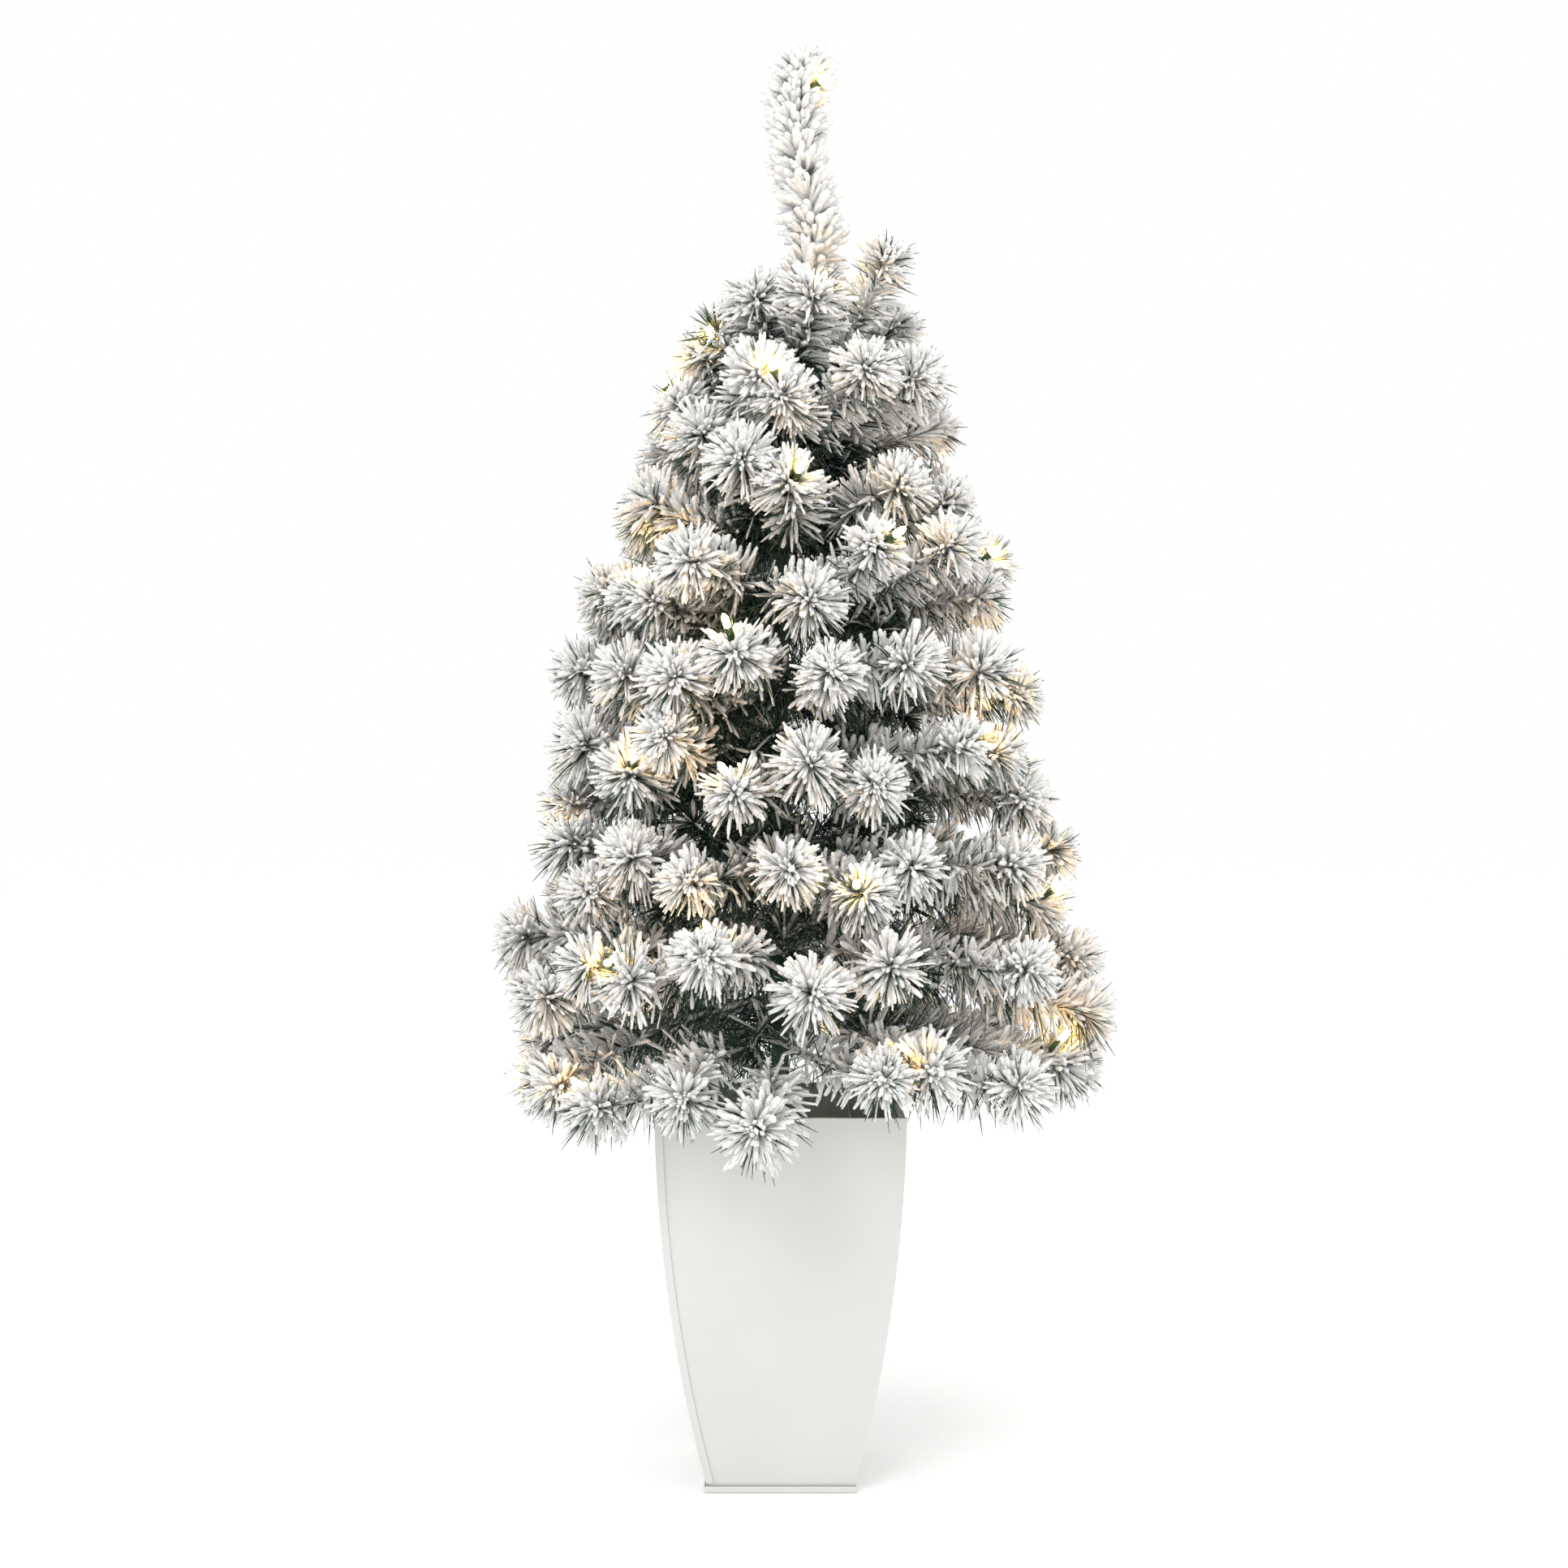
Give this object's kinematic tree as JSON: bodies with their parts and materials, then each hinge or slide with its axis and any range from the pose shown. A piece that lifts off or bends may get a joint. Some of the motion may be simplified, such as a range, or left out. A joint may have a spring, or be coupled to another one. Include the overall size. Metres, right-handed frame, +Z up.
{
  "type": "artificial tabletop tree",
  "caption": "Snow-flocked artificial tabletop tree with warm lamps, in a tall tapered square planter of white painted metal.",
  "frame": {"origin": "middle of the planter's base, on the surface it stands on", "axes": "+Z up along the trunk, -Y towards the front, +X to the right seen from the front"},
  "size_m": [0.4342, 0.4359, 1.1085],
  "materials": {
    "white_paint": "satin white paint on sheet steel",
    "cement": "rough cast cement",
    "plated_steel": "zinc plated tube",
    "trunk_paint": "dark green paint",
    "binding_tape": "wound green tape",
    "flocked_foliage": "white flock over plastic needles",
    "green_needles": "bare dark green plastic needles",
    "warm_lamp": "clear bulb, warm light",
    "green_cable": "dark green cable jacket"
  },
  "bodies": {
    "planter": {"planter_panel_front": "white_paint", "planter_panel_right": "white_paint", "planter_panel_back": "white_paint", "planter_panel_left": "white_paint", "planter_base_tray": "white_paint", "planter_ballast": "cement", "trunk_socket": "plated_steel"},
    "tree": {"trunk_pole": "trunk_paint", "tier1_binding": "binding_tape", "tier2_binding": "binding_tape", "tier3_binding": "binding_tape", "tier4_binding": "binding_tape", "tier5_binding": "binding_tape", "tier6_binding": "binding_tape", "tier7_binding": "binding_tape", "tier8_binding": "binding_tape", "tier9_binding": "binding_tape", "light_string_riser": "green_cable", "power_inlet": "green_cable"},
    "tier1_branch1": {"tier1_branch1": "flocked_foliage"},
    "tier1_branch2": {"tier1_branch2": "flocked_foliage"},
    "tier1_branch3": {"tier1_branch3": "flocked_foliage"},
    "tier1_branch4": {"tier1_branch4": "flocked_foliage"},
    "tier1_branch5": {"tier1_branch5": "flocked_foliage"},
    "tier2_branch1": {"tier2_branch1": "flocked_foliage"},
    "tier2_branch2": {"tier2_branch2": "flocked_foliage"},
    "tier2_branch3": {"tier2_branch3": "flocked_foliage"},
    "tier2_branch4": {"tier2_branch4": "flocked_foliage"},
    "tier2_branch5": {"tier2_branch5": "flocked_foliage"},
    "tier3_branch1": {"tier3_branch1": "flocked_foliage"},
    "tier3_branch2": {"tier3_branch2": "flocked_foliage"},
    "tier3_branch3": {"tier3_branch3": "flocked_foliage"},
    "tier3_branch4": {"tier3_branch4": "flocked_foliage"},
    "tier3_branch5": {"tier3_branch5": "flocked_foliage"},
    "tier4_branch1": {"tier4_branch1": "flocked_foliage"},
    "tier4_branch2": {"tier4_branch2": "flocked_foliage"},
    "tier4_branch3": {"tier4_branch3": "flocked_foliage"},
    "tier4_branch4": {"tier4_branch4": "flocked_foliage"},
    "tier4_branch5": {"tier4_branch5": "flocked_foliage"},
    "tier5_branch1": {"tier5_branch1": "flocked_foliage"},
    "tier5_branch2": {"tier5_branch2": "flocked_foliage"},
    "tier5_branch3": {"tier5_branch3": "flocked_foliage"},
    "tier5_branch4": {"tier5_branch4": "flocked_foliage"},
    "tier6_branch1": {"tier6_branch1": "flocked_foliage"},
    "tier6_branch2": {"tier6_branch2": "flocked_foliage"},
    "tier6_branch3": {"tier6_branch3": "flocked_foliage"},
    "tier6_branch4": {"tier6_branch4": "flocked_foliage"},
    "tier7_branch1": {"tier7_branch1": "flocked_foliage"},
    "tier7_branch2": {"tier7_branch2": "flocked_foliage"},
    "tier7_branch3": {"tier7_branch3": "flocked_foliage"},
    "tier7_branch4": {"tier7_branch4": "flocked_foliage"},
    "tier8_branch1": {"tier8_branch1": "flocked_foliage"},
    "tier8_branch2": {"tier8_branch2": "flocked_foliage"},
    "tier8_branch3": {"tier8_branch3": "flocked_foliage"},
    "tier9_branch1": {"tier9_branch1": "flocked_foliage"},
    "tier9_branch2": {"tier9_branch2": "flocked_foliage"},
    "tier9_branch3": {"tier9_branch3": "flocked_foliage"},
    "leader": {"leader": "flocked_foliage", "leader_lamp": "warm_lamp"}
  },
  "joints": [
    {"name": "tree_lift", "type": "slide", "parent": "planter", "child": "tree", "axis": [0, 0, 1], "range_m": [0, 0.093]},
    {"name": "tier1_branch1_bend", "type": "hinge", "parent": "tree", "child": "tier1_branch1", "pos_m": [-0.00254, -0.01306, 0.372], "axis": [-0.9816, 0.1908, 0], "range_deg": [-12, 12]},
    {"name": "tier1_branch2_bend", "type": "hinge", "parent": "tree", "child": "tier1_branch2", "pos_m": [0.01163, -0.00645, 0.372], "axis": [-0.4848, -0.8746, 0], "range_deg": [-12, 12]},
    {"name": "tier1_branch3_bend", "type": "hinge", "parent": "tree", "child": "tier1_branch3", "pos_m": [0.00973, 0.00907, 0.372], "axis": [0.682, -0.7314, 0], "range_deg": [-12, 12]},
    {"name": "tier1_branch4_bend", "type": "hinge", "parent": "tree", "child": "tier1_branch4", "pos_m": [-0.00562, 0.01205, 0.372], "axis": [0.9063, 0.4226, 0], "range_deg": [-12, 12]},
    {"name": "tier1_branch5_bend", "type": "hinge", "parent": "tree", "child": "tier1_branch5", "pos_m": [-0.0132, -0.00162, 0.372], "axis": [-0.1219, 0.9925, 0], "range_deg": [-12, 12]},
    {"name": "tier2_branch1_bend", "type": "hinge", "parent": "tree", "child": "tier2_branch1", "pos_m": [0.00046, -0.01329, 0.432], "axis": [-0.9994, -0.0349, 0], "range_deg": [-10, 12]},
    {"name": "tier2_branch2_bend", "type": "hinge", "parent": "tree", "child": "tier2_branch2", "pos_m": [0.01278, -0.00367, 0.432], "axis": [-0.2756, -0.9613, 0], "range_deg": [-10, 12]},
    {"name": "tier2_branch3_bend", "type": "hinge", "parent": "tree", "child": "tier2_branch3", "pos_m": [0.00744, 0.01103, 0.432], "axis": [0.829, -0.5592, 0], "range_deg": [-10, 12]},
    {"name": "tier2_branch4_bend", "type": "hinge", "parent": "tree", "child": "tier2_branch4", "pos_m": [-0.00819, 0.01048, 0.432], "axis": [0.788, 0.6157, 0], "range_deg": [-10, 12]},
    {"name": "tier2_branch5_bend", "type": "hinge", "parent": "tree", "child": "tier2_branch5", "pos_m": [-0.0125, -0.00455, 0.432], "axis": [-0.342, 0.9397, 0], "range_deg": [-10, 12]},
    {"name": "tier3_branch1_bend", "type": "hinge", "parent": "tree", "child": "tier3_branch1", "pos_m": [0.00185, -0.01317, 0.492], "axis": [-0.9903, -0.1392, 0], "range_deg": [-12, 12]},
    {"name": "tier3_branch2_bend", "type": "hinge", "parent": "tree", "child": "tier3_branch2", "pos_m": [0.0131, -0.00231, 0.492], "axis": [-0.1736, -0.9848, 0], "range_deg": [-12, 12]},
    {"name": "tier3_branch3_bend", "type": "hinge", "parent": "tree", "child": "tier3_branch3", "pos_m": [0.00624, 0.01174, 0.492], "axis": [0.8829, -0.4695, 0], "range_deg": [-12, 12]},
    {"name": "tier3_branch4_bend", "type": "hinge", "parent": "tree", "child": "tier3_branch4", "pos_m": [-0.00924, 0.00957, 0.492], "axis": [0.7193, 0.6947, 0], "range_deg": [-12, 12]},
    {"name": "tier3_branch5_bend", "type": "hinge", "parent": "tree", "child": "tier3_branch5", "pos_m": [-0.01195, -0.00583, 0.492], "axis": [-0.4384, 0.8988, 0], "range_deg": [-12, 12]},
    {"name": "tier4_branch1_bend", "type": "hinge", "parent": "tree", "child": "tier4_branch1", "pos_m": [0.00344, -0.01285, 0.552], "axis": [-0.9659, -0.2588, 0], "range_deg": [-12, 12]},
    {"name": "tier4_branch2_bend", "type": "hinge", "parent": "tree", "child": "tier4_branch2", "pos_m": [0.01328, -0.0007, 0.552], "axis": [-0.0523, -0.9986, 0], "range_deg": [-12, 12]},
    {"name": "tier4_branch3_bend", "type": "hinge", "parent": "tree", "child": "tier4_branch3", "pos_m": [0.00477, 0.01242, 0.552], "axis": [0.9336, -0.3584, 0], "range_deg": [-12, 12]},
    {"name": "tier4_branch4_bend", "type": "hinge", "parent": "tree", "child": "tier4_branch4", "pos_m": [-0.01034, 0.00837, 0.552], "axis": [0.6293, 0.7771, 0], "range_deg": [-12, 12]},
    {"name": "tier4_branch5_bend", "type": "hinge", "parent": "tree", "child": "tier4_branch5", "pos_m": [-0.01115, -0.00724, 0.552], "axis": [-0.5446, 0.8387, 0], "range_deg": [-12, 12]},
    {"name": "tier5_branch1_bend", "type": "hinge", "parent": "tree", "child": "tier5_branch1", "pos_m": [0.00023, -0.0133, 0.612], "axis": [-0.9998, -0.0174, 0], "range_deg": [-12, 12]},
    {"name": "tier5_branch2_bend", "type": "hinge", "parent": "tree", "child": "tier5_branch2", "pos_m": [0.0133, 0.00023, 0.612], "axis": [0.0174, -0.9998, 0], "range_deg": [-12, 12]},
    {"name": "tier5_branch3_bend", "type": "hinge", "parent": "tree", "child": "tier5_branch3", "pos_m": [-0.00023, 0.0133, 0.612], "axis": [0.9998, 0.0174, 0], "range_deg": [-12, 12]},
    {"name": "tier5_branch4_bend", "type": "hinge", "parent": "tree", "child": "tier5_branch4", "pos_m": [-0.0133, -0.00023, 0.612], "axis": [-0.0174, 0.9998, 0], "range_deg": [-12, 12]},
    {"name": "tier6_branch1_bend", "type": "hinge", "parent": "tree", "child": "tier6_branch1", "pos_m": [-0.00231, -0.0131, 0.672], "axis": [-0.9848, 0.1736, 0], "range_deg": [-12, 12]},
    {"name": "tier6_branch2_bend", "type": "hinge", "parent": "tree", "child": "tier6_branch2", "pos_m": [0.0131, -0.00231, 0.672], "axis": [-0.1736, -0.9848, 0], "range_deg": [-12, 12]},
    {"name": "tier6_branch3_bend", "type": "hinge", "parent": "tree", "child": "tier6_branch3", "pos_m": [0.00231, 0.0131, 0.672], "axis": [0.9848, -0.1736, 0], "range_deg": [-12, 12]},
    {"name": "tier6_branch4_bend", "type": "hinge", "parent": "tree", "child": "tier6_branch4", "pos_m": [-0.0131, 0.00231, 0.672], "axis": [0.1736, 0.9848, 0], "range_deg": [-12, 12]},
    {"name": "tier7_branch1_bend", "type": "hinge", "parent": "tree", "child": "tier7_branch1", "pos_m": [-0.00344, -0.01285, 0.732], "axis": [-0.9659, 0.2588, 0], "range_deg": [-12, 12]},
    {"name": "tier7_branch2_bend", "type": "hinge", "parent": "tree", "child": "tier7_branch2", "pos_m": [0.01285, -0.00344, 0.732], "axis": [-0.2588, -0.9659, 0], "range_deg": [-12, 12]},
    {"name": "tier7_branch3_bend", "type": "hinge", "parent": "tree", "child": "tier7_branch3", "pos_m": [0.00344, 0.01285, 0.732], "axis": [0.9659, -0.2588, 0], "range_deg": [-12, 12]},
    {"name": "tier7_branch4_bend", "type": "hinge", "parent": "tree", "child": "tier7_branch4", "pos_m": [-0.01285, 0.00344, 0.732], "axis": [0.2588, 0.9659, 0], "range_deg": [-12, 12]},
    {"name": "tier8_branch1_bend", "type": "hinge", "parent": "tree", "child": "tier8_branch1", "pos_m": [-0.00139, -0.01323, 0.792], "axis": [-0.9945, 0.1045, 0], "range_deg": [-12, 12]},
    {"name": "tier8_branch2_bend", "type": "hinge", "parent": "tree", "child": "tier8_branch2", "pos_m": [0.01215, 0.00541, 0.792], "axis": [0.4067, -0.9135, 0], "range_deg": [-12, 12]},
    {"name": "tier8_branch3_bend", "type": "hinge", "parent": "tree", "child": "tier8_branch3", "pos_m": [-0.01076, 0.00782, 0.792], "axis": [0.5878, 0.809, 0], "range_deg": [-12, 12]},
    {"name": "tier9_branch1_bend", "type": "hinge", "parent": "tree", "child": "tier9_branch1", "pos_m": [-0.00231, -0.0131, 0.852], "axis": [-0.9848, 0.1736, 0], "range_deg": [-12, 12]},
    {"name": "tier9_branch2_bend", "type": "hinge", "parent": "tree", "child": "tier9_branch2", "pos_m": [0.0125, 0.00455, 0.852], "axis": [0.342, -0.9397, 0], "range_deg": [-12, 12]},
    {"name": "tier9_branch3_bend", "type": "hinge", "parent": "tree", "child": "tier9_branch3", "pos_m": [-0.01019, 0.00855, 0.852], "axis": [0.6428, 0.766, 0], "range_deg": [-12, 12]},
    {"name": "leader_bend", "type": "hinge", "parent": "tree", "child": "leader", "pos_m": [0, 0, 0.905], "axis": [0, 1, 0], "range_deg": [-15, 15]}
  ]
}
